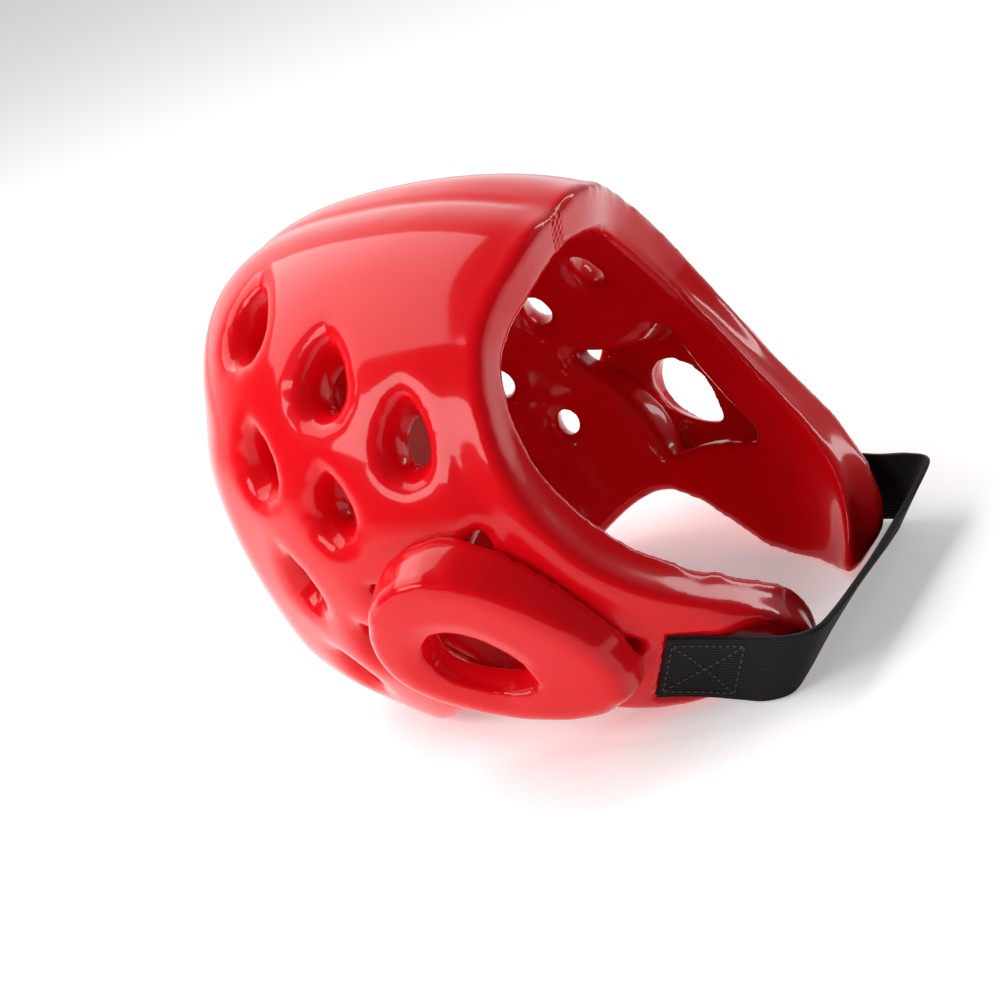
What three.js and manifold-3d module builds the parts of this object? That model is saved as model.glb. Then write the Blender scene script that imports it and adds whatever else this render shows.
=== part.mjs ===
// Taekwondo headgear: a one-piece dipped foam shell, two glued ear pads and an elastic chin strap.
// Millimetres, +Z up. The wearer faces -Y and the headgear stands on its lower edge at z = 0.

import * as THREE from 'three';
import { mergeVertices } from 'three/addons/utils/BufferGeometryUtils.js';
import Module from 'manifold-3d';

// Driving dimensions
const CROWN_HEIGHT = 185;        // lower edge to the top of the crown
const WIDTH_OVER_PADS = 235;     // between the outer faces of the two ear pads
const PAD_THICKNESS = 21;        // ear pad's outer face, out from the shell's widest level
const SHELL_WIDTH = WIDTH_OVER_PADS - 2 * PAD_THICKNESS;
const BACK_REACH = 110.2;        // shell axis to the back of the head
const FRONT_REACH = 133;         // shell axis to the closed form's front
const WALL = 20;                 // foam thickness
const FIT_GAP = 0.3;             // clearance between a glued or sewn piece and the shell

const CROWN_LEAN = 34;           // how far the crown's centre sits behind the lower edge's centre
const AXIS_OFFSET = 2;           // shell axis behind the frame's origin
const ROUNDNESS = 2.1;           // exponent of the level sections, 2 is an ellipse

const CREASE_DEPTH = 3;          // groove over the crown along the middle
const CREASE_HALF_WIDTH = 9;
const CREASE_START = 0.72;       // share of the crown height where the groove begins
const CREASE_FULL = 0.86;
const CREASE_UPRIGHT = 0.9;      // share from which the groove is cut straight down
const FORM_HEIGHT = CROWN_HEIGHT + 1.36;  // before the groove takes the crown's highest line away
const NAPE_PAD_RAISE = 3.5;      // how far the pad on the back of the head stands proud
const NAPE_PAD_ANGLE = 131;      // degrees from the front to the middle of the pad's side step
const NAPE_PAD_STEP = 5;         // degrees from there to the step's foot and to its top
const NAPE_PAD_TOP = 0.67;       // share of the crown height at the middle of its upper step
const NAPE_PAD_FOOT = 0.06;
const ARCH_HEIGHT = 22;          // lower edge raised under each ear
const ARCH_LENGTH = 112;
const ARCH_CENTRE = -2;
const TIP_LIFT = 9;              // lower edge raised at the tip of each jaw flap
const TIP_LENGTH = 22;

const PAD_LENGTH = 90;           // ear pad's outline along its slant
const PAD_WIDTH = 64;
const PAD_SLANT = 40;            // degrees that the long axis drops towards the front
const PAD_FORE = -18;            // pad centre, front to back
const PAD_HEIGHT = 52;           // pad centre above the lower edge
const PAD_EDGE_RADIUS = 5;
const PAD_LEAN = 0.3;            // how far the face leans in for each millimetre down
const PAD_TURN = 0.12;           // how far the face turns in for each millimetre forward
const EAR_HOLE_LENGTH = 43;
const EAR_HOLE_WIDTH = 25;
const EAR_HOLE_DROP = 5;         // ear hole's centre line below the pad's own
const EAR_HOLE_FORE = 1;
const EAR_HOLE_BACK = 0.6;       // size of the hole at the back of the pad, against its face
const EAR_HOLE_SHOULDER = 2.5;   // outside the shell's widest level, where the hole narrows
const EAR_HOLE_POINT = 0.45;     // how full the pointed end is, against half the width
const PAD_STOCK = 38.6;          // pad's stock begins this far inside the shell's widest level

const VENT_AIM_HEIGHT = 240.5;   // every vent's tip points up to the middle plane at this height
const VENT_AIM_AHEAD = 30;       // and ahead by this much times the sine of its tilt
const VENT_TAPER = 0.5;          // size of a vent on the inner surface, against the skin
const VENT_POINT = 0.35;         // how full the pointed end is, against half the width
const STOCK_BELOW = 12;          // head form runs on below the lower edge before it is cut

const STRAP_WIDTH = 31;
const STRAP_THICKNESS = 2.2;

const COLUMNS = 72;              // flat faces round the skin, and up it
const ROWS = 30;
const INNER_COLUMNS = 56;        // and on the inner surface
const INNER_ROWS = 25;
const FACET_DEPTH = 0.1;

const RED = 0xd2001c;
const BLACK = 0x141416;

// How far the closed form reaches from its axis in each direction. level is the height of the
// widest section, roundness the exponent of the dome above it, tuck the share lost at z = 0.
const FORM = {
  side: { reach: SHELL_WIDTH / 2, level: 0.42, roundness: 2, tuck: 0.26 },
  back: { reach: BACK_REACH, level: 0.25, roundness: 2.7, tuck: 0.34 },
  front: { reach: FRONT_REACH, level: 0.32, roundness: 2.4, tuck: 0.11 },
};

// Edge of the face opening, from a flap's tip up to the forehead. Angles in degrees from the
// front, heights as shares of the crown height, on the outer and on the inner surface.
const RIM = [
  { outerAngle: 30, outerHeight: 0.075, innerAngle: 18, innerHeight: 0.086 },
  { outerAngle: 38, outerHeight: 0.157, innerAngle: 24, innerHeight: 0.157 },
  { outerAngle: 61, outerHeight: 0.367, innerAngle: 50, innerHeight: 0.342 },
  { outerAngle: 65, outerHeight: 0.633, innerAngle: 60, innerHeight: 0.57 },
  { outerAngle: 50, outerHeight: 0.845, innerAngle: 49, innerHeight: 0.755 },
  { outerAngle: 0, outerHeight: 0.925, innerAngle: 0, innerHeight: 0.825 },
];

// Teardrop vents on one side. Angle from the front, height as a share of the crown height,
// tilt of the tip towards the front in degrees, length and width as shares of the wall.
const VENTS = [
  { angle: 119, height: 0.903, tilt: 12, length: 1.7, width: 1.15 },
  { angle: 91, height: 0.815, tilt: 12, length: 1.75, width: 1.15 },
  { angle: 79, height: 0.695, tilt: 10, length: 1.75, width: 1.05 },
  { angle: 116, height: 0.675, tilt: 8, length: 1.5, width: 1.05 },
  { angle: 98, height: 0.59, tilt: 8, length: 1.5, width: 0.95 },
  { angle: 118, height: 0.42, tilt: 4, length: 1.4, width: 0.85 },
  { angle: 121, height: 0.185, tilt: 20, length: 1.2, width: 0.8 },
  { angle: 106, height: 0.28, tilt: 0, length: 1.1, width: 0.8 },
];

// Corners of the star-shaped ear opening on the skin and on the inner surface, from the pad's
// centre: along and across its slant as shares of the pad's length and width, and out from the
// middle plane as a share of the shell's half width.
const STAR_CORNERS = [
  { along: 0.66, across: -0.16, out: 0.98, inAlong: 0.59, inAcross: -0.05, inOut: 0.78 },
  { along: 0.26, across: 0.64, out: 0.93, inAlong: 0.25, inAcross: 0.5, inOut: 0.75 },
  { along: -0.63, across: 0.28, out: 0.8, inAlong: -0.37, inAcross: 0.25, inOut: 0.65 },
  { along: -0.14, across: -0.4, out: 0.93, inAlong: -0.02, inAcross: -0.27, inOut: 0.71 },
];
const STAR_WAIST = 0.3;          // how far each side's middle is left from the centre, outside
const STAR_INNER_WAIST = 0.76;

// Half of the strap, from its sewn end to the middle of the chin. Upper edge as shares of the
// shell's half width, its front reach and the crown height, then the direction of the width.
const STRAP = [
  { side: 0.765, front: -0.535, up: 0.192, leanSide: -6, leanBack: 17, leanDown: 26 },
  { side: 0.715, front: -0.6, up: 0.173, leanSide: -5.5, leanBack: 18, leanDown: 26 },
  { side: 0.682, front: -0.668, up: 0.156, leanSide: -5.6, leanBack: 16.6, leanDown: 25.6 },
  { side: 0.668, front: -0.744, up: 0.147, leanSide: -4.2, leanBack: 16.7, leanDown: 25.8 },
  { side: 0.663, front: -0.832, up: 0.142, leanSide: -1.7, leanBack: 18.4, leanDown: 24.9 },
  { side: 0.618, front: -0.898, up: 0.14, leanSide: -1.3, leanBack: 19, leanDown: 24.4 },
  { side: 0.49, front: -0.912, up: 0.135, leanSide: -1.8, leanBack: 20, leanDown: 23.6 },
  { side: 0.265, front: -0.912, up: 0.128, leanSide: -3.1, leanBack: 21.3, leanDown: 22.3 },
  { side: 0, front: -0.914, up: 0.124, leanSide: 0, leanBack: 22, leanDown: 21 },
];

const wasm = await Module();
wasm.setup();

const radians = (degrees) => degrees * Math.PI / 180;
const clamp = (value, low, high) => Math.min(Math.max(value, low), high);

function smoothStep(low, high, value) {
  const t = clamp((value - low) / (high - low), 0, 1);
  return t * t * (3 - 2 * t);
}

// Reach of one direction's profile at a height, for the surface that lies inset under the skin.
function reachAt(profile, z, inset) {
  const level = profile.level * CROWN_HEIGHT;
  const top = FORM_HEIGHT - inset;
  const widest = profile.reach - inset;
  if (z <= level) {
    return widest - profile.reach * profile.tuck * ((level - z) / level) ** 2;
  }
  const t = clamp((z - level) / (top - level), 0, 1);
  return widest * (1 - t ** profile.roundness) ** (1 / profile.roundness);
}

// Groove over the crown and raised pad at the nape, as a change of the skin along its normal.
function reliefAt(x, z, angle) {
  const share = z / CROWN_HEIGHT;
  const nearTop = smoothStep(CREASE_START, CREASE_FULL, share);
  const groove = CREASE_DEPTH * nearTop * Math.exp(-((x / CREASE_HALF_WIDTH) ** 2));
  const behind = smoothStep(NAPE_PAD_ANGLE - NAPE_PAD_STEP, NAPE_PAD_ANGLE + NAPE_PAD_STEP, angle);
  const soft = 0.03;
  const below = 1 - smoothStep(NAPE_PAD_TOP - soft, NAPE_PAD_TOP + soft, share);
  const above = smoothStep(NAPE_PAD_FOOT - soft, NAPE_PAD_FOOT + soft, share);
  return NAPE_PAD_RAISE * behind * below * above - groove;
}

// A point on the closed head form: angle in radians from the front, positive to +X.
function formPoint(angle, z, inset) {
  const sine = Math.sin(angle);
  const cosine = Math.cos(angle);
  const power = 2 / ROUNDNESS;
  const across = Math.sign(sine) * Math.abs(sine) ** power;
  const along = Math.abs(cosine) ** power;
  const turned = Math.abs(Math.atan2(sine, cosine)) * 180 / Math.PI;
  const half = reachAt(FORM.side, z, inset);
  const relief = inset === 0 ? reliefAt(half * across, z, turned) : 0;
  const ahead = cosine > 0;
  const reach = reachAt(ahead ? FORM.front : FORM.back, z, inset);
  const centre = AXIS_OFFSET + CROWN_LEAN * (Math.max(z, 0) / CROWN_HEIGHT) ** 2;
  const nearTop = smoothStep(CREASE_START, CREASE_UPRIGHT, z / CROWN_HEIGHT);
  const level = relief * (1 - nearTop);
  return new THREE.Vector3(
    (half + level) * across,
    centre + (ahead ? -1 : 1) * (reach + level) * along,
    z + relief * nearTop,
  );
}

// Outward direction of the form at an angle and height.
function formNormal(angle, z, inset) {
  const step = 0.01;
  const here = formPoint(angle, z, inset);
  const round = formPoint(angle + step, z, inset).sub(here);
  const up = formPoint(angle, Math.min(z + 0.5, FORM_HEIGHT - inset - 0.01), inset).sub(here);
  return round.cross(up).normalize();
}

// Closed solid from rings of points that all have the same count, capped at both ends.
function loft(rings) {
  const count = rings[0].length;
  const positions = rings.flat().flatMap((p) => [p.x, p.y, p.z]);
  const index = [];
  for (let i = 0; i < rings.length - 1; i += 1) {
    for (let j = 0; j < count; j += 1) {
      const a = i * count + j;
      const b = i * count + (j + 1) % count;
      index.push(a, b, b + count, a, b + count, a + count);
    }
  }
  [rings[0], rings[rings.length - 1]].forEach((ring, end) => {
    const middle = ring.reduce((sum, p) => sum.add(p), new THREE.Vector3()).divideScalar(count);
    const hub = positions.length / 3;
    positions.push(middle.x, middle.y, middle.z);
    const first = end === 0 ? 0 : (rings.length - 1) * count;
    for (let j = 0; j < count; j += 1) {
      const a = first + j;
      const b = first + (j + 1) % count;
      index.push(...(end === 0 ? [hub, b, a] : [hub, a, b]));
    }
  });
  const geometry = new THREE.BufferGeometry();
  geometry.setAttribute('position', new THREE.Float32BufferAttribute(positions, 3));
  geometry.setIndex(index);
  return geometry;
}

// Solid for joining and cutting, from any closed geometry; a mirrored one is turned right way out.
function solid(geometry) {
  const bare = geometry.clone();
  bare.deleteAttribute('normal');
  bare.deleteAttribute('uv');
  const merged = mergeVertices(bare, 1e-4);
  const triangles = Uint32Array.from(merged.index.array);
  const mesh = new wasm.Mesh({
    numProp: 3,
    vertProperties: Float32Array.from(merged.attributes.position.array),
    triVerts: triangles,
  });
  const body = new wasm.Manifold(mesh);
  if (body.volume() > 0) {
    return body;
  }
  for (let i = 0; i < triangles.length; i += 3) {
    [triangles[i], triangles[i + 1]] = [triangles[i + 1], triangles[i]];
  }
  return new wasm.Manifold(new wasm.Mesh({
    numProp: 3,
    vertProperties: Float32Array.from(merged.attributes.position.array),
    triVerts: triangles,
  }));
}

// Closed head form as a solid, from below the lower edge to the crown.
function headForm(inset, columns, rows) {
  const rings = [];
  const low = -STOCK_BELOW;
  const high = FORM_HEIGHT - inset;
  for (let i = 0; i < rows; i += 1) {
    const z = low + (high - low) * Math.sin(Math.PI / 2 * i / (rows - 0.35));
    const ring = [];
    for (let j = 0; j < columns; j += 1) {
      ring.push(formPoint(2 * Math.PI * j / columns, z, inset));
    }
    rings.push(ring);
  }
  return solid(loft(rings));
}

// Smooth run through a table's column, read at t from 0 to 1.
function readColumn(table, column, t) {
  const points = table.map((row, i) => new THREE.Vector2(i / (table.length - 1), row[column]));
  return new THREE.SplineCurve(points).getPoint(t).y;
}

// Edge of the face opening, from below one flap's tip over the forehead to the other.
function rimLoop(which, inset, steps) {
  const mirrored = RIM.slice(0, -1).reverse().map((row) => (
    { ...row, outerAngle: -row.outerAngle, innerAngle: -row.innerAngle }));
  const whole = [...RIM, ...mirrored];
  const run = [];
  for (let i = 0; i <= 2 * steps; i += 1) {
    const t = i / (2 * steps);
    const angle = radians(readColumn(whole, `${which}Angle`, t));
    const z = CROWN_HEIGHT * readColumn(whole, `${which}Height`, t);
    run.push(formPoint(angle, z, inset));
  }
  const feet = [run[0].clone(), run[2 * steps].clone()];
  feet.forEach((foot) => {
    foot.z = -2 * STOCK_BELOW;
  });
  return [feet[0], ...run, feet[1]];
}

// What the face opening takes away: the space ahead of the rim, the rim's own face and a
// stretch into the hollow behind it.
function faceCutter() {
  const steps = 22;
  const outer = rimLoop('outer', 0, steps);
  const inner = rimLoop('inner', WALL, steps);
  const past = 0.1;
  const widen = 1.02;
  const narrow = 0.9;
  const beyondOuter = outer.map((p, i) => p.clone().lerp(inner[i], -past));
  const beyondInner = inner.map((p, i) => p.clone().lerp(outer[i], -past));
  const ahead = beyondOuter.map((p) => new THREE.Vector3(p.x * widen, p.y - FRONT_REACH, p.z));
  const behind = beyondInner.map((p) => new THREE.Vector3(p.x * narrow, p.y + WALL, p.z));
  return solid(loft([ahead, beyondOuter, beyondInner, behind]));
}

// Everything below the lower edge: flat at z = 0, arched under the ears, lifted at the tips.
function lowerCutter() {
  const depth = FRONT_REACH + BACK_REACH;
  const floor = -3 * STOCK_BELOW;
  const shape = new THREE.Shape();
  shape.moveTo(-depth, floor);
  shape.lineTo(-depth, TIP_LIFT);
  const tipEnd = -(FRONT_REACH * 0.83);
  const steps = 8;
  for (let i = 0; i <= steps; i += 1) {
    const t = i / steps;
    shape.lineTo(tipEnd + TIP_LENGTH * t, TIP_LIFT * (1 - t) ** 2);
  }
  for (let i = 0; i <= 2 * steps; i += 1) {
    const t = i / steps - 1;
    shape.lineTo(ARCH_CENTRE + ARCH_LENGTH / 2 * t, ARCH_HEIGHT * Math.cos(Math.PI / 2 * t) ** 2);
  }
  shape.lineTo(depth, 0);
  shape.lineTo(depth, floor);
  const geometry = new THREE.ExtrudeGeometry(shape, { depth: 2 * SHELL_WIDTH, bevelEnabled: false });
  geometry.translate(0, 0, -SHELL_WIDTH);
  geometry.applyMatrix4(new THREE.Matrix4().set(0, 0, 1, 0, 1, 0, 0, 0, 0, 1, 0, 0, 0, 0, 0, 1));
  return solid(geometry);
}

// Teardrop outline with its tip at +Y, round at the other end.
function teardrop(length, width, pinch) {
  const shape = new THREE.Shape();
  const half = width / 2;
  const low = -length / 2;
  const high = length / 2;
  shape.moveTo(0, low);
  shape.bezierCurveTo(half * 0.75, low, half * 1.1, low + length * 0.22, half, low + length * 0.42);
  shape.bezierCurveTo(half * 0.92, low + length * 0.66, half * pinch, high - length * 0.06, 0, high);
  shape.bezierCurveTo(-half * pinch, high - length * 0.06, -half * 0.92, low + length * 0.66,
    -half, low + length * 0.42);
  shape.bezierCurveTo(-half * 1.1, low + length * 0.22, -half * 0.75, low, 0, low);
  return shape;
}

// One vent through the wall, square to the skin, on the side given by its sign.
function ventCutter(vent, side) {
  const angle = radians(vent.angle) * side;
  const z = vent.height * CROWN_HEIGHT;
  const normal = formNormal(angle, z, 0);
  const centre = formPoint(angle, z, 0);
  const aim = new THREE.Vector3(
    0, centre.y - VENT_AIM_AHEAD * Math.sin(radians(vent.tilt)), VENT_AIM_HEIGHT);
  const up = aim.sub(centre).projectOnPlane(normal).normalize();
  const right = up.clone().cross(normal);
  const outline = teardrop(vent.length * WALL, vent.width * WALL, VENT_POINT).getPoints(3).slice(0, -1);
  const ring = (depth) => {
    const size = 1 - (1 - VENT_TAPER) * depth / WALL;
    return outline.map((p) => centre.clone().addScaledVector(normal, -depth)
      .addScaledVector(right, p.x * size).addScaledVector(up, p.y * size));
  };
  const before = 0.5;
  const past = 1.4;
  return solid(loft([ring(-before * WALL), ring(past * WALL)]));
}

// A point of the side view, given along and across the pad's slant and out from the middle plane.
function slanted(out, along, across) {
  const c = Math.cos(radians(PAD_SLANT));
  const s = Math.sin(radians(PAD_SLANT));
  return new THREE.Vector3(out, PAD_FORE + c * along - s * across, PAD_HEIGHT + s * along + c * across);
}

// Turns an outline drawn along and across the pad's slant into the side view, then pushes it
// out to +X from the shell's middle. The outline's x runs up and back, its y up and forward.
function sidewaysExtrusion(shape, from, to, options) {
  const geometry = new THREE.ExtrudeGeometry(shape, { depth: to - from, curveSegments: 5, ...options });
  geometry.translate(0, 0, from);
  const along = slanted(0, 1, 0).sub(slanted(0, 0, 0));
  const across = slanted(0, 0, 1).sub(slanted(0, 0, 0));
  const out = new THREE.Vector3(1, 0, 0);
  const place = new THREE.Matrix4().makeBasis(along, across, out).setPosition(slanted(0, 0, 0));
  return geometry.applyMatrix4(place);
}

// Star-shaped outline through four corners whose sides are drawn in to the centre.
function starOutline(corners, waist) {
  const blunt = 0.1;
  const shape = new THREE.Shape();
  const pulls = corners.map((corner, i) => corner.clone()
    .add(corners[(i + 1) % corners.length]).multiplyScalar(waist / 2));
  const leave = (i) => corners[i].clone().lerp(pulls[i], blunt);
  shape.moveTo(leave(0).x, leave(0).y);
  corners.forEach((corner, i) => {
    const k = (i + 1) % corners.length;
    const arrive = corners[k].clone().lerp(pulls[i], blunt);
    shape.quadraticCurveTo(pulls[i].x, pulls[i].y, arrive.x, arrive.y);
    shape.quadraticCurveTo(corners[k].x, corners[k].y, leave(k).x, leave(k).y);
  });
  return shape.getPoints(5).slice(0, -1);
}

// Star-shaped ear opening on the +X side, narrowing from the skin to the inner surface.
function starCutter() {
  const half = SHELL_WIDTH / 2;
  const flat = (along, across) => STAR_CORNERS.map((corner) => new THREE.Vector2(
    corner[along] * PAD_LENGTH, corner[across] * PAD_WIDTH));
  const skin = starOutline(flat('along', 'across'), STAR_WAIST);
  const lining = starOutline(flat('inAlong', 'inAcross'), STAR_INNER_WAIST);
  const reach = (column, i) => {
    const share = i / skin.length * STAR_CORNERS.length;
    const k = Math.floor(share);
    const from = STAR_CORNERS[k][column];
    const to = STAR_CORNERS[(k + 1) % STAR_CORNERS.length][column];
    return half * (from + (to - from) * (share - k));
  };
  const outside = skin.map((p, i) => slanted(reach('out', i), p.x, p.y));
  const inside = lining.map((p, i) => slanted(reach('inOut', i), p.x, p.y));
  const past = 0.7;
  const beyond = outside.map((p, i) => p.clone().lerp(inside[i], -past));
  const within = inside.map((p, i) => p.clone().lerp(outside[i], -past));
  return solid(loft([beyond, within]));
}

// Egg-shaped pad outline, its narrow end at the front and low.
function padOutline(grow) {
  const back = PAD_LENGTH * 0.45 + grow;
  const front = -PAD_LENGTH * 0.55 - grow;
  const half = PAD_WIDTH / 2 + grow;
  const wide = PAD_LENGTH * 0.1;
  const shape = new THREE.Shape();
  shape.moveTo(back, 0);
  shape.bezierCurveTo(back, half * 0.6, wide + (back - wide) * 0.6, half, wide, half);
  shape.bezierCurveTo(wide + (front - wide) * 0.45, half, front, half * 0.62, front, half * 0.08);
  shape.bezierCurveTo(front, -half * 0.5, wide + (front - wide) * 0.4, -half, wide, -half);
  shape.bezierCurveTo(wide + (back - wide) * 0.6, -half, back, -half * 0.6, back, 0);
  return shape;
}

// Leans the pad's face so that it follows the shell, with its outermost corner at the full width.
function leanOut(geometry) {
  const shear = new THREE.Matrix4().set(
    1, PAD_TURN, PAD_LEAN, -PAD_TURN * PAD_FORE - PAD_LEAN * PAD_HEIGHT,
    0, 1, 0, 0,
    0, 0, 1, 0,
    0, 0, 0, 1,
  );
  geometry.applyMatrix4(shear);
  geometry.computeBoundingBox();
  geometry.translate(WIDTH_OVER_PADS / 2 - geometry.boundingBox.max.x, 0, 0);
  return geometry;
}

// Ear pad on the +X side, hollowed to sit on the shell, with its teardrop ear hole.
function padSolid() {
  const radius = PAD_EDGE_RADIUS;
  const skin = SHELL_WIDTH / 2;
  const face = sidewaysExtrusion(padOutline(-radius), skin - PAD_STOCK, skin, {
    bevelEnabled: true, bevelThickness: radius, bevelSize: radius, bevelSegments: 3,
  });
  const hole = teardrop(EAR_HOLE_LENGTH, EAR_HOLE_WIDTH, EAR_HOLE_POINT).getPoints(4).slice(0, -1);
  const ring = (out, size) => hole.map((p) => slanted(
    out, -p.y * size - EAR_HOLE_FORE, p.x * size - EAR_HOLE_DROP));
  const body = solid(leanOut(face));
  const ear = solid(loft([
    ring(WIDTH_OVER_PADS, 1),
    ring(skin + EAR_HOLE_SHOULDER, 1),
    ring(skin - radius, EAR_HOLE_BACK),
    ring(skin - PAD_STOCK, EAR_HOLE_BACK),
  ]));
  return body.subtract(headForm(-FIT_GAP - FACET_DEPTH, COLUMNS, ROWS)).subtract(ear);
}

// Strap from one flap to the other: a band of the given size round its own middle surface.
function strapSolid(grow) {
  const steps = 15;
  const stations = [];
  for (let i = -steps; i <= steps; i += 1) {
    const side = Math.sign(i) || 1;
    const t = 1 - Math.abs(i) / steps;
    const read = (column) => readColumn(STRAP, column, t);
    const upper = new THREE.Vector3(
      side * read('side') * SHELL_WIDTH / 2,
      read('front') * FRONT_REACH,
      read('up') * CROWN_HEIGHT,
    );
    const lean = new THREE.Vector3(side * read('leanSide'), read('leanBack'), -read('leanDown'));
    if (i === 0) {
      upper.x = 0;
      lean.x = 0;
    }
    lean.setLength(STRAP_WIDTH);
    stations.push({ upper, lower: upper.clone().add(lean) });
  }
  const middle = (station) => station.upper.clone().add(station.lower).multiplyScalar(0.5);
  const ends = stations.length - 1;
  const rings = stations.map((station, i) => {
    const before = middle(stations[Math.max(i - 1, 0)]);
    const after = middle(stations[Math.min(i + 1, ends)]);
    const run = after.sub(before).normalize();
    const width = station.lower.clone().sub(station.upper).normalize();
    const out = run.clone().cross(width).normalize();
    const half = STRAP_THICKNESS / 2 + grow;
    const past = run.multiplyScalar(grow * ((i === ends) - (i === 0)));
    const edge = (point, alongWidth, alongOut) => point.clone().add(past)
      .addScaledVector(width, alongWidth).addScaledVector(out, alongOut);
    return [
      edge(station.upper, -grow, half),
      edge(middle(station), 0, half),
      edge(station.lower, grow, half),
      edge(station.lower, grow, -half),
      edge(middle(station), 0, -half),
      edge(station.upper, -grow, -half),
    ];
  });
  return solid(loft(rings));
}

const mirror = (body) => body.mirror([1, 0, 0]);

function shellSolid() {
  let body = headForm(0, COLUMNS, ROWS).subtract(headForm(WALL, INNER_COLUMNS, INNER_ROWS));
  const pad = padSolid();
  const star = starCutter();
  const cutters = [faceCutter(), lowerCutter(), star, mirror(star), strapSolid(FIT_GAP + FACET_DEPTH)];
  VENTS.forEach((vent) => {
    cutters.push(ventCutter(vent, 1), ventCutter(vent, -1));
  });
  cutters.forEach((cutter) => {
    body = body.subtract(cutter);
  });
  const pieces = body.decompose().sort((a, b) => b.volume() - a.volume());
  return { shell: pieces[0], pad };
}

function geometryOf(body) {
  const { vertProperties, triVerts, numProp } = body.getMesh();
  const positions = new Float32Array(vertProperties.length / numProp * 3);
  for (let i = 0; i < positions.length / 3; i += 1) {
    positions.set(vertProperties.subarray(i * numProp, i * numProp + 3), i * 3);
  }
  const geometry = new THREE.BufferGeometry();
  geometry.setAttribute('position', new THREE.BufferAttribute(positions, 3));
  geometry.setIndex(new THREE.BufferAttribute(Uint32Array.from(triVerts), 1));
  geometry.computeVertexNormals();
  return geometry;
}

function piece(name, body, material) {
  const mesh = new THREE.Mesh(geometryOf(body), material);
  mesh.name = name;
  return mesh;
}

const dippedFoam = () => new THREE.MeshStandardMaterial({ color: RED, roughness: 0.18, metalness: 0 });
const webbing = () => new THREE.MeshStandardMaterial({ color: BLACK, roughness: 0.85, metalness: 0 });

const { shell, pad } = shellSolid();
const headgear = new THREE.Group();
headgear.add(
  piece('shell', shell, dippedFoam()),
  piece('ear_pad_left', pad, dippedFoam()),
  piece('ear_pad_right', mirror(pad), dippedFoam()),
  piece('chin_strap', strapSolid(0), webbing()),
);

export default headgear;
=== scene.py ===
"""Taekwondo headgear: dipped foam shell, two ear pads and an elastic chin strap."""

import math

import bmesh
import bpy
import numpy as np
from mathutils import Matrix, Vector, noise
from mathutils.bvhtree import BVHTree
from mathutils.kdtree import KDTree


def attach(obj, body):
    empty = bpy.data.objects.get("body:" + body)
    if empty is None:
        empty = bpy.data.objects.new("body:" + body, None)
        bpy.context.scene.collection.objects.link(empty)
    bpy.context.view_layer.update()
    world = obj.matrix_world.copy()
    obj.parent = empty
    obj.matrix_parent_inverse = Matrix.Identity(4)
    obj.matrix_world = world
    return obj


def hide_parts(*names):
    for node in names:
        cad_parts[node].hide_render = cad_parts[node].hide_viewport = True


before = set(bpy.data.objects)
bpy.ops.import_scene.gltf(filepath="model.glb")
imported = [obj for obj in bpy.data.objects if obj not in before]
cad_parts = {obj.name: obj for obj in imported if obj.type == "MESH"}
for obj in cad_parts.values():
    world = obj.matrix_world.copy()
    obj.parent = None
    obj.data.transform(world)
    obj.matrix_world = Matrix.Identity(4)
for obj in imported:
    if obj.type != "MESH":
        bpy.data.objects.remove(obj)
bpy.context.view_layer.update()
MM = 0.001


# Shell: one piece of closed-cell foam, about 20 mm thick, moulded with its vents and dipped in
# liquid vinyl. The vinyl runs to a thick, glossy skin that rounds every edge, bulges a little
# along the rim of the face opening and thins out beside it.
SHELL_FACE = 1.77 * MM          # size of the faces that the skin is made of
SHELL_ROUNDS = 4                # smoothing passes, which set how round the edges are
EDGE_ROUNDS = 19                # further passes on edges other than a vent's
OPEN_ROUNDS = 46                # further passes away from any edge
SHARP_EDGE = 38                 # degrees between two faces of the foam that make an edge
# the sizes from here on are in millimetres
VENT_REACH = 19                 # a vent's outline lies within this of its middle
VENT_DENT = 2.0                 # how far the skin sinks at a vent's edge, and over what width
VENT_DENT_WIDTH = 11
VENT_DENT_FALL = 2.5            # exponent of the dent's fall
RIM_LIP = 0.9                   # thick vinyl along the outer edge of the face opening
RIM_LIP_WIDTH = 4
RIM_VALLEY = 1.2                # shallow valley beside that lip
RIM_VALLEY_WIDTH = 6
RIM_VALLEY_AWAY = 13
VALLEY_TOP = 150                # height at which the valley has run out, and over how much
VALLEY_FADE = 35
CROWN_LINE = 0.8                # fine line down the middle of the groove over the crown
CROWN_LINE_WIDTH = 3
CROWN_LINE_FROM = 120           # height where it begins, and over how much it deepens
CROWN_LINE_FADE = 25
WANDER = 0.28                   # unevenness of the hand-dipped skin
WANDER_SIZE = 24
# middles of the vents on the left side of the skin
VENT_MIDDLES = (
    (48.3, 66.4, 167.1), (71.4, 26.4, 150.8), (83.8, -6.2, 128.6), (78.5, 63.5, 124.9),
    (91.5, 29.9, 109.2), (85.7, 61.3, 77.7), (76.5, 60.4, 34.2), (90.3, 37.0, 51.8),
)
# outer edge of the face opening, from the left jaw flap's tip to the middle of the forehead
RIM_EDGE = (
    (41.1, -106.3, 13.9), (44.6, -105.3, 17.9), (50.9, -102.4, 25.0), (62.4, -93.6, 36.8),
    (77.0, -74.9, 53.3), (85.6, -57.4, 71.7), (87.3, -46.3, 92.5), (83.3, -39.8, 113.3),
    (74.8, -36.6, 131.8), (61.7, -35.7, 148.5), (43.9, -40.4, 160.5), (21.4, -45.3, 168.3),
    (0.0, -45.2, 168.1),
)
HEAD_MIDDLE = (0, 18, 78)


def tree_of(points):
    tree = KDTree(len(points))
    for i, point in enumerate(points):
        tree.insert(point, i)
    tree.balance()
    return tree


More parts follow.
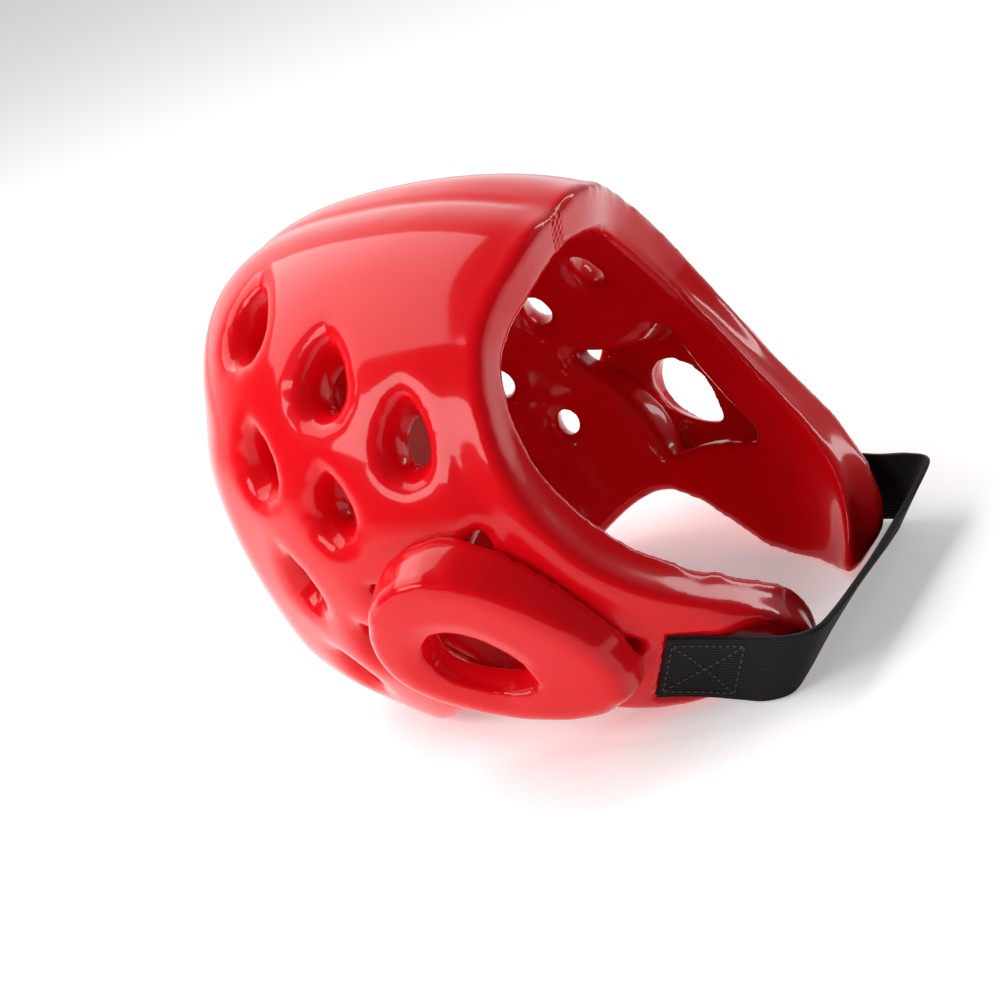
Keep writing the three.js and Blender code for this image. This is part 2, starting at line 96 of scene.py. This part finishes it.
def skinned(node, name, face, crease_angle):
    """One closed skin of even small faces over a foam node, and points along its edges."""
    form = bmesh.new()
    form.from_mesh(node.data)
    bmesh.ops.remove_doubles(form, verts=form.verts, dist=0.00001)
    edge_points = []
    for edge in form.edges:
        if edge.is_manifold and edge.calc_face_angle() > math.radians(crease_angle):
            a, b = (v.co for v in edge.verts)
            steps = max(1, int((b - a).length / face))
            edge_points += [a.lerp(b, i / steps) for i in range(steps + 1)]
    mesh = bpy.data.meshes.new(name)
    form.to_mesh(mesh)
    form.free()
    piece = bpy.data.objects.new(name, mesh)
    bpy.context.scene.collection.objects.link(piece)
    even = piece.modifiers.new("even faces", "REMESH")
    even.mode = "VOXEL"
    even.voxel_size = face
    even.use_smooth_shade = True
    evaluated = piece.evaluated_get(bpy.context.evaluated_depsgraph_get())
    piece.data = bpy.data.meshes.new_from_object(evaluated)
    piece.modifiers.clear()
    piece.data.name = name
    return piece, edge_points


def places(mesh):
    flat = np.empty(3 * len(mesh.vertices))
    mesh.vertices.foreach_get("co", flat)
    return flat.reshape(-1, 3)


def put(mesh, points):
    mesh.vertices.foreach_set("co", points.ravel())
    mesh.update()


def out_of(mesh):
    """Outward direction at each vertex."""
    flat = np.empty(3 * len(mesh.vertices))
    mesh.vertex_normals.foreach_get("vector", flat)
    return flat.reshape(-1, 3)


def eased(mesh, share, rounds):
    """Lets every vertex settle towards its neighbours by a share, again and again."""
    ends = np.empty(2 * len(mesh.edges), dtype=np.int64)
    mesh.edges.foreach_get("vertices", ends)
    a, b = ends.reshape(-1, 2).T
    count = len(mesh.vertices)
    beside = np.bincount(a, minlength=count) + np.bincount(b, minlength=count)
    points = places(mesh)
    for _ in range(rounds):
        for axis in range(3):
            value = points[:, axis]
            total = (np.bincount(a, weights=value[b], minlength=count)
                     + np.bincount(b, weights=value[a], minlength=count))
            points[:, axis] = value + share * (total / beside - value)
    put(mesh, points)


def distances(mesh, tree):
    return np.array([tree.find(v.co)[2] for v in mesh.vertices])


def fade(low, high, value):
    t = np.clip((value - low) / (high - low), 0, 1)
    return t * t * (3 - 2 * t)


def both_sides(points):
    """Points given on the left in millimetres, and their mirror images, in metres."""
    left = np.array(points)
    return np.concatenate((left, left * (-1, 1, 1))) * MM


def along(points, step):
    """Close points along a broken line."""
    run = []
    for a, b in zip(points, points[1:]):
        steps = max(1, int(np.linalg.norm(np.subtract(b, a)) / step))
        run += [np.add(a, np.subtract(b, a) * i / steps) for i in range(steps)]
    return run + [np.array(points[-1])]


shell, shell_edges = skinned(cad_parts["shell"], "dipped_shell", SHELL_FACE, SHARP_EDGE)
from_edge = distances(shell.data, tree_of(shell_edges))
vent_tree = tree_of([
    p for p in shell_edges
    if min(np.linalg.norm(both_sides(VENT_MIDDLES) - np.array(p), axis=1)) < VENT_REACH * MM])
from_vent = distances(shell.data, vent_tree)
eased(shell.data, 0.5, SHELL_ROUNDS)
eased(shell.data, 0.5 * fade(2 * MM, 5 * MM, from_vent), EDGE_ROUNDS)
eased(shell.data, 0.5 * fade(4 * MM, 10 * MM, from_edge), OPEN_ROUNDS)

# the skin sinks towards each vent
points = places(shell.data)
facing = out_of(shell.data)
edge_array = np.array([list(p) for p in shell_edges])
outward = points - np.array(HEAD_MIDDLE) * MM
outward /= np.linalg.norm(outward, axis=1)[:, None]
on_skin = fade(0.3, 0.7, (facing * outward).sum(axis=1))
for middle in both_sides(VENT_MIDDLES):
    near = np.linalg.norm(points - middle, axis=1)
    about = (near < VENT_REACH * MM) & (on_skin > 0.9)
    axis = facing[about].mean(axis=0)
    axis /= np.linalg.norm(axis)
    outline = edge_array[np.linalg.norm(edge_array - middle, axis=1) < VENT_REACH * MM]
    outline = outline[np.abs((outline - middle) @ axis) < 5 * MM]
    outline_tree = tree_of(outline)
    for i in np.flatnonzero(near < (VENT_REACH + VENT_DENT_WIDTH) * MM):
        gap = outline_tree.find(points[i])[2]
        share = max(0, 1 - gap / (VENT_DENT_WIDTH * MM))
        points[i] -= axis * VENT_DENT * MM * share ** VENT_DENT_FALL

# lip and valley along the face opening, line over the crown, and the unevenness of the dip
left_rim = along(RIM_EDGE, 1)
rim_tree = tree_of(both_sides(left_rim))
from_rim = np.array([rim_tree.find(p)[2] for p in points]) / MM
lip = RIM_LIP * np.exp(-(from_rim / RIM_LIP_WIDTH) ** 2)
valley = RIM_VALLEY * np.exp(-((from_rim - RIM_VALLEY_AWAY) / RIM_VALLEY_WIDTH) ** 2)
valley *= 1 - fade(VALLEY_TOP - VALLEY_FADE, VALLEY_TOP, points[:, 2] / MM)
crown = fade(CROWN_LINE_FROM, CROWN_LINE_FROM + CROWN_LINE_FADE, points[:, 2] / MM)
across_line = np.exp(-(points[:, 0] / MM / CROWN_LINE_WIDTH) ** 2)
line = CROWN_LINE * crown * fade(4, 22, from_rim) * across_line
wander = np.array([noise.noise(Vector(p / MM / WANDER_SIZE)) for p in points]) * WANDER
points += facing * ((on_skin * (lip - valley - line) + wander) * MM)[:, None]
put(shell.data, points)
eased(shell.data, 0.5, 2)

# knurled patch at the middle of the forehead, pressed into the rim's own face
PATCH_MIDDLE = Vector((-3.0, -40.0, 160.3)) * MM
PATCH_DOWN = Vector((0.0, 9.9, -15.5)).normalized()
PATCH_HALF_LENGTH = 9.0
PATCH_HALF_WIDTH = 4.6
PATCH_DEPTH = 0.34
PATCH_REACH = 12.0
PATCH_ROW = 2.5                 # distance between the knurl's rows, and between their breaks
PATCH_BREAK = 2.9
patch = bmesh.new()
patch.from_mesh(shell.data)
close = {v for v in patch.verts if (v.co - PATCH_MIDDLE).length < PATCH_REACH * MM}
bmesh.ops.subdivide_edges(
    patch,
    edges=[e for e in patch.edges if e.verts[0] in close and e.verts[1] in close],
    cuts=3,
    use_grid_fill=True,
)
patch.normal_update()
rim_faces = Vector((0, -1, -0.6)).normalized()
for vert in patch.verts:
    from_middle = vert.co - PATCH_MIDDLE
    if from_middle.length < PATCH_REACH * MM and vert.normal.dot(rim_faces) > 0.5:
        down = from_middle.dot(PATCH_DOWN) / MM
        side = from_middle.x / MM
        inside = ((1 - fade(PATCH_HALF_LENGTH - 1.5, PATCH_HALF_LENGTH, abs(down)))
                  * (1 - fade(PATCH_HALF_WIDTH - 1, PATCH_HALF_WIDTH, abs(side))))
        rows = math.cos(2 * math.pi * (down + 0.55 * side) / PATCH_ROW)
        breaks = math.cos(2 * math.pi * (side - 0.25 * down) / PATCH_BREAK)
        press = -0.5 + 0.6 * rows + 0.4 * rows * breaks
        vert.co += vert.normal * float(inside) * press * PATCH_DEPTH * MM
patch.to_mesh(shell.data)
patch.free()
shell.data.shade_smooth()


class Value:
    """A shader socket, on which Python's own operators add Math nodes."""

    def __init__(self, tree, socket):
        self.tree = tree
        self.socket = socket

    def _math(self, operation, *values):
        node = self.tree.nodes.new("ShaderNodeMath")
        node.operation = operation
        for slot, value in zip(node.inputs, values):
            if isinstance(value, Value):
                self.tree.links.new(value.socket, slot)
            else:
                slot.default_value = value
        return Value(self.tree, node.outputs[0])

    def __add__(self, other):
        return self._math("ADD", self, other)

    __radd__ = __add__

    def __mul__(self, other):
        return self._math("MULTIPLY", self, other)

    __rmul__ = __mul__


class Finish:
    """One material, to which nodes are added by their type, settings and inputs."""

    def __init__(self, name):
        self.material = bpy.data.materials.new(name)
        self.material.use_nodes = True
        self.tree = self.material.node_tree
        self.tree.nodes.clear()

    def node(self, kind, settings=None, **inputs):
        """kind without its ShaderNode prefix; an input's spaces are written as underscores."""
        node = self.tree.nodes.new("ShaderNode" + kind)
        for name, value in (settings or {}).items():
            setattr(node, name, value)
        for name, value in inputs.items():
            wanted = name.replace("_", " ")
            slot = next(s for s in node.inputs if s.enabled and s.name.replace("-", " ") == wanted)
            if isinstance(value, Value):
                self.tree.links.new(value.socket, slot)
            else:
                slot.default_value = value
        return node

    def out(self, node, name=None):
        found = next(s for s in node.outputs if s.enabled and (name is None or s.name == name))
        return Value(self.tree, found)

    def mix(self, factor, low, high):
        """Colour between two colours."""
        node = self.tree.nodes.new("ShaderNodeMix")
        node.data_type = "RGBA"
        slots = [s for s in node.inputs if s.enabled]
        for slot, value in zip(slots, (factor, low, high)):
            if isinstance(value, Value):
                self.tree.links.new(value.socket, slot)
            else:
                slot.default_value = value
        return Value(self.tree, next(s for s in node.outputs if s.enabled))

    def noise(self, place, size, detail=2.0, rough=0.5):
        """Noise from 0 to 1 whose lumps are about size metres across."""
        return self.out(self.node(
            "TexNoise", Vector=place, Scale=1 / size, Detail=detail, Roughness=rough))

    def finished(self, shader):
        end = self.node("OutputMaterial")
        self.tree.links.new(shader.outputs[0], end.inputs["Surface"])
        return self.material


def dipped_vinyl(name):
    """Thick glossy red vinyl, with the slight unevenness and faint runs of a dipped coat."""
    red = (0.76, 0.0016, 0.0075, 1)
    thin_red = (0.7, 0.0011, 0.0055, 1)
    coat = Finish(name)
    place = coat.out(coat.node("TexCoord"), "Object")
    clouds = coat.noise(place, 0.045, 3)
    orange_peel = coat.noise(place, 0.007, 2)
    fine = coat.noise(place, 0.0016, 2)
    scuffs = coat.noise(place, 0.018, 5, 0.65)
    colour = coat.mix(clouds, red, thin_red)
    height = orange_peel * 0.8 + fine * 0.2
    bump = coat.node("Bump", Strength=0.07, Distance=0.0006, Height=height)
    shader = coat.node(
        "BsdfPrincipled",
        Base_Color=colour,
        Roughness=0.26 + 0.12 * scuffs,
        IOR=1.5,
        Coat_Weight=0.9 + 0.1 * clouds,
        Coat_Roughness=0.075,
        Normal=coat.out(bump),
    )
    shader.inputs["Specular IOR Level"].default_value = 0.06
    shader.inputs["Coat IOR"].default_value = 1.32
    return coat.finished(shader)


vinyl = dipped_vinyl("red_dipped_vinyl")
shell.data.materials.clear()
shell.data.materials.append(vinyl)
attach(shell, "root")
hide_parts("shell")


# Ear pads: two egg-shaped pads of the same foam, each with a teardrop hole for the ear. They are
# dipped like the shell and glued on over its star-shaped openings.
PAD_FACE = 1.0 * MM
PAD_ROUNDS = 8
EAR_HOLE_REACH = 25             # the ear hole's outline lies within this of the pad's middle
EAR_HOLE_DISH = 1.5             # how far the face sinks towards the ear hole, and over what width
EAR_HOLE_DISH_WIDTH = 8
PAD_WANDER = 0.2
PAD_FLARE = 5.5                 # how far the foot of the pad's wall spreads out on the shell
PAD_DEPTH = 20
PAD_MIDDLE = (-18, 52)          # front to back, and above the floor
PAD_FACE_TURN = 0.12            # lean of the pad's face towards the front and downwards
PAD_FACE_LEAN = 0.3
GLUED_BELOW = 8                 # depth from the face where the glued foot begins
GLUE_REACH = 4                  # the foot is drawn down onto the shell from within this gap
GLUE_SINK = 0.3                 # and its vinyl is bedded this far into the shell's
shell_skin = BVHTree.FromPolygons(
    [v.co.copy() for v in shell.data.vertices], [tuple(f.vertices) for f in shell.data.polygons])


def ear_pad(side):
    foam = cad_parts["ear_pad_" + side]
    pad, edges = skinned(foam, "dipped_pad_" + side, PAD_FACE, SHARP_EDGE)
    gap = distances(pad.data, tree_of(edges))
    eased(pad.data, 0.5, PAD_ROUNDS)
    eased(pad.data, 0.5 * fade(2 * MM, 6 * MM, gap), 3 * PAD_ROUNDS)
    sign = 1 if side == "left" else -1
    at = places(pad.data)
    out = out_of(pad.data)
    edge_points = np.array([list(p) for p in edges])
    face_edges = edge_points[edge_points[:, 0] * sign > 100 * MM]
    hole_middle = np.median(face_edges, axis=0)
    hole = face_edges[np.linalg.norm(face_edges - hole_middle, axis=1) < EAR_HOLE_REACH * MM]
    hole_tree = tree_of(hole)
    from_hole = np.array([hole_tree.find(p)[2] for p in at]) / MM
    away = at[:, 1:] / MM - PAD_MIDDLE
    depth = -sign * at[:, 0] / MM + PAD_FACE_TURN * away[:, 0] + PAD_FACE_LEAN * away[:, 1]
    depth -= depth.min()
    outside = fade(8, 16, from_hole) * fade(0, PAD_DEPTH, depth)
    towards = away / np.linalg.norm(away, axis=1)[:, None]
    upward = 0.55 + 0.45 * (towards @ (0.35, 0.94))
    at[:, 1:] += towards * (PAD_FLARE * MM * outside * upward)[:, None]
    at[:, 0] -= sign * EAR_HOLE_DISH * MM * (1 - fade(0, EAR_HOLE_DISH_WIDTH, from_hole))
    uneven = np.array([noise.noise(Vector(p / MM / WANDER_SIZE)) for p in at]) * PAD_WANDER * MM
    at += out * (uneven * fade(0, 8 * MM, gap))[:, None]
    put(pad.data, at)
    eased(pad.data, 0.5, 2)
    at = places(pad.data)
    for i in np.flatnonzero(depth > GLUED_BELOW):
        where, _, _, clear = shell_skin.find_nearest(Vector(at[i]))
        hold = 1 - float(fade(GLUE_REACH / 2 * MM, GLUE_REACH * MM, clear))
        down = np.array((where - Vector(at[i])).normalized())
        at[i] += down * (clear + GLUE_SINK * MM) * hold
    put(pad.data, at)
    pad.data.materials.clear()
    pad.data.materials.append(vinyl)
    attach(pad, "root")
    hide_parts("ear_pad_" + side)


for side in ("left", "right"):
    ear_pad(side)


# Chin strap: black elastic webbing, 31 mm wide, woven with fine ribs along its length. Its two
# ends lie flat on the outsides of the jaw flaps, where they are sewn through the vinyl.
STRAP_WIDTH = 31.0
STRAP_THICKNESS = 2.2
STRAP_RIBS = 23
PICK_LENGTH = 0.0011             # metres of the strap to one turn of the weave
RIB_HEIGHT = 0.14
STRAP_STEPS = 180
STRAP_COLUMNS = 105
# x, y, z of the upper edge, then the direction of the width, from the middle of the chin out
STRAP_RUN = (
    (0.0, -121.56, 22.94, 0.0, 22.0, -21.0),
    (25.57, -121.3, 23.68, -3.1, 21.3, -22.3),
    (47.29, -121.3, 24.98, -1.8, 20.0, -23.6),
    (59.64, -119.43, 25.9, -1.3, 19.0, -24.4),
    (63.98, -110.66, 26.27, -1.7, 18.4, -24.9),
    (64.46, -98.95, 27.2, -4.2, 16.7, -25.8),
    (65.81, -88.84, 28.86, -5.6, 16.6, -25.6),
    (69.0, -79.8, 32.01, -5.5, 18.0, -26.0),
    (73.82, -71.16, 35.52, -6.0, 17.0, -26.0),
)


def along_strap(share):
    """Upper edge and width of the strap at a share of its run, from one end to the other."""
    side = 1 if share >= 0.5 else -1
    last = len(STRAP_RUN) - 1
    t = abs(share - 0.5) * 2 * last
    i = min(int(t), last - 1)
    u = t - i
    before, a, b, after = (np.array(STRAP_RUN[min(max(k, 0), last)]) for k in range(i - 1, i + 3))
    row = 0.5 * (2 * a + (b - before) * u + (2 * before - 5 * a + 4 * b - after) * u ** 2
                 + (3 * a - before - 3 * b + after) * u ** 3)
    width = Vector((side * row[3], row[4], row[5])).normalized() * STRAP_WIDTH
    return Vector((side * row[0], row[1], row[2])), width


def strap_place(share, across, out):
    """Point of the strap at a share of its run and of its width, out from its middle surface."""
    edge, width = along_strap(share)
    ahead, ahead_width = along_strap(min(share + 0.002, 1.0))
    behind, behind_width = along_strap(max(share - 0.002, 0.0))
    run = (ahead + ahead_width / 2 - behind - behind_width / 2).normalized()
    normal = width.cross(run).normalized()
    return (edge + width * across + normal * out) * MM


band = bmesh.new()
weave = band.loops.layers.uv.new("weave")
bmesh.ops.create_grid(band, x_segments=STRAP_STEPS, y_segments=STRAP_COLUMNS, size=0.5)
middle_run = [sum(along_strap(i / 200), Vector()) - along_strap(i / 200)[1] / 2 for i in range(201)]
strap_length = sum((b - a).length for a, b in zip(middle_run, middle_run[1:]))
for face in band.faces:
    for loop in face.loops:
        u, v = loop.vert.co.x + 0.5, loop.vert.co.y + 0.5
        loop[weave].uv = (u * strap_length * MM, v * STRAP_WIDTH * MM)
bmesh.ops.solidify(band, geom=band.faces[:], thickness=0.01)
middle_plane = sum(vert.co.z for vert in band.verts) / len(band.verts)
for vert in band.verts:
    u, v = vert.co.x + 0.5, vert.co.y + 0.5
    rib = RIB_HEIGHT * math.cos(2 * math.pi * STRAP_RIBS * v)
    layer = 1 if vert.co.z > middle_plane else -1
    vert.co = strap_place(u, v, layer * (STRAP_THICKNESS / 2 - RIB_HEIGHT + rib))
bmesh.ops.recalc_face_normals(band, faces=band.faces)
strap_mesh = bpy.data.meshes.new("elastic_chin_strap")
band.to_mesh(strap_mesh)
band.free()
strap = bpy.data.objects.new("elastic_chin_strap", strap_mesh)
bpy.context.scene.collection.objects.link(strap)
strap_mesh.shade_smooth()

# the flap's vinyl stands up in a soft ridge along the strap's upper edge, and the strap is
# pressed into it
RIDGE = 1.6
RIDGE_WIDTH = 4
PRESSED = STRAP_THICKNESS / 2 + 0.25
seat = []
seat_out = []
upper_seat = []
for i in range(221):
    share = i / 220
    upper_seat.append(strap_place(share, -0.05, 0))
    for k in range(-1, 35):
        here = strap_place(share, k / 33, 0)
        seat.append(here)
        seat_out.append((strap_place(share, k / 33, 1) - here).normalized())
seat_tree = tree_of(seat)
upper_tree = tree_of(upper_seat)
points = places(shell.data)
facing = out_of(shell.data)
from_upper = np.array([upper_tree.find(p)[2] for p in points]) / MM
sideways = fade(0.2, 0.6, facing[:, 0] * np.sign(points[:, 0]))
rise = RIDGE * np.exp(-((from_upper - 1.5) / RIDGE_WIDTH) ** 2) * sideways
points += facing * (rise * MM)[:, None]
put(shell.data, points)
eased(shell.data, 0.5 * (from_upper < 10), 5)
points = places(shell.data)
for i in np.flatnonzero(np.array([seat_tree.find(p)[2] for p in points]) < 6 * MM):
    where, k, _ = seat_tree.find(points[i])
    off = Vector(points[i]) - where
    height = off.dot(seat_out[k])
    if (off - seat_out[k] * height).length < 0.9 * MM and height > -PRESSED * MM:
        points[i] -= np.array(seat_out[k]) * (height + PRESSED * MM)
put(shell.data, points)


def elastic_webbing(name):
    """Black elastic: lengthwise ribs of covered rubber with fine crossing threads between."""
    web = Finish(name)
    place = web.out(web.node("UVMap", {"uv_map": "weave"}))
    apart = web.node("SeparateXYZ", Vector=place)
    along, across = web.out(apart, "X"), web.out(apart, "Y")
    rib = web.node("Math", {"operation": "SINE"})
    rib_turns = across * (2 * math.pi * STRAP_RIBS / (STRAP_WIDTH * MM))
    web.tree.links.new(rib_turns.socket, rib.inputs[0])
    thread = web.node("Math", {"operation": "SINE"})
    web.tree.links.new((along * (2 * math.pi / PICK_LENGTH)).socket, thread.inputs[0])
    fuzz = web.noise(place, 0.0007, 3, 0.6)
    worn = web.noise(place, 0.02, 3)
    crossing = web.out(rib) * 0.5 + 0.5
    picks = web.out(thread) * 0.5 + 0.5
    shade = crossing * 0.35 + picks * 0.25 + fuzz * 0.4
    shade = shade * (0.7 + 0.6 * worn)
    colour = web.mix(shade, (0.0015, 0.0015, 0.002, 1), (0.011, 0.011, 0.013, 1))
    bump = web.node("Bump", Strength=0.6, Distance=0.0002, Height=picks * 0.5 + fuzz * 0.5)
    shader = web.node(
        "BsdfPrincipled",
        Base_Color=colour,
        Roughness=0.62 + 0.2 * fuzz,
        IOR=1.45,
        Normal=web.out(bump),
    )
    shader.inputs["Sheen Weight"].default_value = 0.08
    shader.inputs["Specular IOR Level"].default_value = 0.25
    shader.inputs["Sheen Roughness"].default_value = 0.4
    return web.finished(shader)


# the sewing at each end is a box with a cross in it, in thick black thread
STITCH_LENGTH = 2.3
STITCH_STEP = 3.1
STITCH_RADIUS = 0.32
STITCH_LIFT = 0.12              # middle of the thread above the webbing
BOX_NEAR, BOX_FAR = 3.5, 37.0     # the box's two short sides, from the strap's end
BOX_TOP, BOX_FOOT = 3.0, 28.0     # and its long sides, from the strap's upper edge


def sewn_line(thread, start, end, at_left):
    """Stitches between two points given along and across the strap from one of its ends."""
    count = int(math.dist(start, end) / STITCH_STEP)
    reach = STITCH_LENGTH / 2 / math.dist(start, end)

    def spot(t):
        along_run = (start[0] + (end[0] - start[0]) * t) / strap_length
        across_run = (start[1] + (end[1] - start[1]) * t) / STRAP_WIDTH
        share = 1 - along_run if at_left else along_run
        return strap_place(share, across_run, STRAP_THICKNESS / 2 + STITCH_LIFT)

    for i in range(count):
        t = (i + 0.5) / count
        a, b = spot(t - reach), spot(t + reach)
        turn_to = (b - a).to_track_quat("X", "Z").to_matrix().to_4x4()
        size = Matrix.Diagonal(((b - a).length / 2, STITCH_RADIUS * MM, STITCH_RADIUS * MM, 1))
        bmesh.ops.create_uvsphere(
            thread, u_segments=8, v_segments=5, radius=1,
            matrix=Matrix.Translation((a + b) / 2) @ turn_to @ size)


thread = bmesh.new()
for at_left in (False, True):
    corners = ((BOX_NEAR, BOX_TOP), (BOX_FAR, BOX_TOP), (BOX_FAR, BOX_FOOT), (BOX_NEAR, BOX_FOOT))
    for k in range(4):
        sewn_line(thread, corners[k], corners[(k + 1) % 4], at_left)
    sewn_line(thread, corners[0], corners[2], at_left)
    sewn_line(thread, corners[1], corners[3], at_left)
sewing_mesh = bpy.data.meshes.new("strap_sewing")
thread.to_mesh(sewing_mesh)
thread.free()
sewing_mesh.shade_smooth()
sewing = bpy.data.objects.new("strap_sewing", sewing_mesh)
bpy.context.scene.collection.objects.link(sewing)


def twisted_thread(name):
    """Black polyester thread with a fine twist."""
    yarn = Finish(name)
    place = yarn.out(yarn.node("TexCoord"), "Object")
    strands = yarn.noise(place, 0.0004, 2)
    colour = yarn.mix(strands, (0.012, 0.012, 0.013, 1), (0.07, 0.07, 0.075, 1))
    bump = yarn.node("Bump", Strength=0.5, Distance=0.0002, Height=strands)
    return yarn.finished(yarn.node(
        "BsdfPrincipled", Base_Color=colour, Roughness=0.4 + 0.2 * strands, Normal=yarn.out(bump)))


sewing_mesh.materials.append(twisted_thread("black_sewing_thread"))
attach(sewing, "root")
strap_mesh.materials.append(elastic_webbing("black_elastic_webbing"))
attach(strap, "root")
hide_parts("chin_strap")


# Studio: a plain white floor that glows faintly, a large soft lamp overhead and two at the
# sides, and the camera at the photograph's viewing angle, turned so that the headgear leans left.
floor_mesh = bpy.data.meshes.new("studio_floor")
ground = bmesh.new()
bmesh.ops.create_grid(ground, x_segments=2, y_segments=2, size=6)
ground.to_mesh(floor_mesh)
ground.free()
floor = bpy.data.objects.new("studio_floor", floor_mesh)
bpy.context.scene.collection.objects.link(floor)
paper = Finish("white_studio_paper")
paper_place = paper.out(paper.node("TexCoord"), "Object")
paper_grain = paper.noise(paper_place, 0.3, 3)
paper_tone = paper.mix(paper_grain, (0.92, 0.92, 0.92, 1), (0.90, 0.90, 0.90, 1))
paper_shader = paper.node("BsdfPrincipled", Base_Color=paper_tone, Roughness=0.9)
paper_shader.inputs["Emission Color"].default_value = (1, 1, 1, 1)
paper_shader.inputs["Emission Strength"].default_value = 0.34
floor_mesh.materials.append(paper.finished(paper_shader))

# the studio is bright behind the headgear and dim on the camera's side
world = bpy.data.worlds.new("studio")
bpy.context.scene.world = world
world.use_nodes = True
sky = world.node_tree
sky_place = sky.nodes.new("ShaderNodeTexCoord")
towards = sky.nodes.new("ShaderNodeVectorMath")
towards.operation = "DOT_PRODUCT"
towards.inputs[1].default_value = (0.77, 0.64, 0)
glow = sky.nodes.new("ShaderNodeMapRange")
glow.interpolation_type = "SMOOTHSTEP"
glow.inputs["From Min"].default_value = 0.35
glow.inputs["From Max"].default_value = 0.95
glow.inputs["To Min"].default_value = 0.1
glow.inputs["To Max"].default_value = 1.2
sky.links.new(sky_place.outputs["Generated"], towards.inputs[0])
sky.links.new(towards.outputs["Value"], glow.inputs["Value"])
sky.links.new(glow.outputs["Result"], sky.nodes["Background"].inputs["Strength"])
sky.nodes["Background"].inputs["Color"].default_value = (1, 1, 1, 1)

CAMERA_PLACE = Vector((-754.9, -521.9, 423.9)) * MM
CAMERA_AZIMUTH = math.radians(-54.069)
CAMERA_HEIGHT = math.radians(21.333)
CAMERA_ROLL = math.radians(22.296)
camera_data = bpy.data.cameras.new("photo_camera")
camera_data.lens = 94.9
camera_data.sensor_width = 36
camera = bpy.data.objects.new("photo_camera", camera_data)
bpy.context.scene.collection.objects.link(camera)
back = Vector((
    math.sin(CAMERA_AZIMUTH) * math.cos(CAMERA_HEIGHT),
    -math.cos(CAMERA_AZIMUTH) * math.cos(CAMERA_HEIGHT),
    math.sin(CAMERA_HEIGHT),
))
level_right = Vector((math.cos(CAMERA_AZIMUTH), math.sin(CAMERA_AZIMUTH), 0))
level_up = back.cross(level_right)
right = level_right * math.cos(CAMERA_ROLL) - level_up * math.sin(CAMERA_ROLL)
up = level_right * math.sin(CAMERA_ROLL) + level_up * math.cos(CAMERA_ROLL)
turn = Matrix((right, up, back)).transposed()
camera.matrix_world = Matrix.Translation(CAMERA_PLACE) @ turn.to_4x4()
camera_data.clip_start = 0.02
bpy.context.scene.camera = camera


def softbox(name, place, target, width, height, watts):
    lamp_data = bpy.data.lights.new(name, "AREA")
    lamp_data.shape = "RECTANGLE"
    lamp_data.size = width
    lamp_data.size_y = height
    lamp_data.energy = watts
    lamp = bpy.data.objects.new(name, lamp_data)
    bpy.context.scene.collection.objects.link(lamp)
    lamp.location = place
    lamp.rotation_euler = (Vector(target) - Vector(place)).to_track_quat("-Z", "Y").to_euler()


softbox("softbox_overhead", (0, 0.65, 1.2), (0, 0, 0.1), 1.35, 1.1, 16)
softbox("softbox_left", (-1.0, 0.41, 0.72), (0, 0, 0.1), 0.85, 0.42, 8)
softbox("softbox_right", (0.96, -0.6, 0.56), (0, 0, 0.1), 0.14, 0.7, 2.4)
bpy.context.scene.view_settings.view_transform = "Standard"
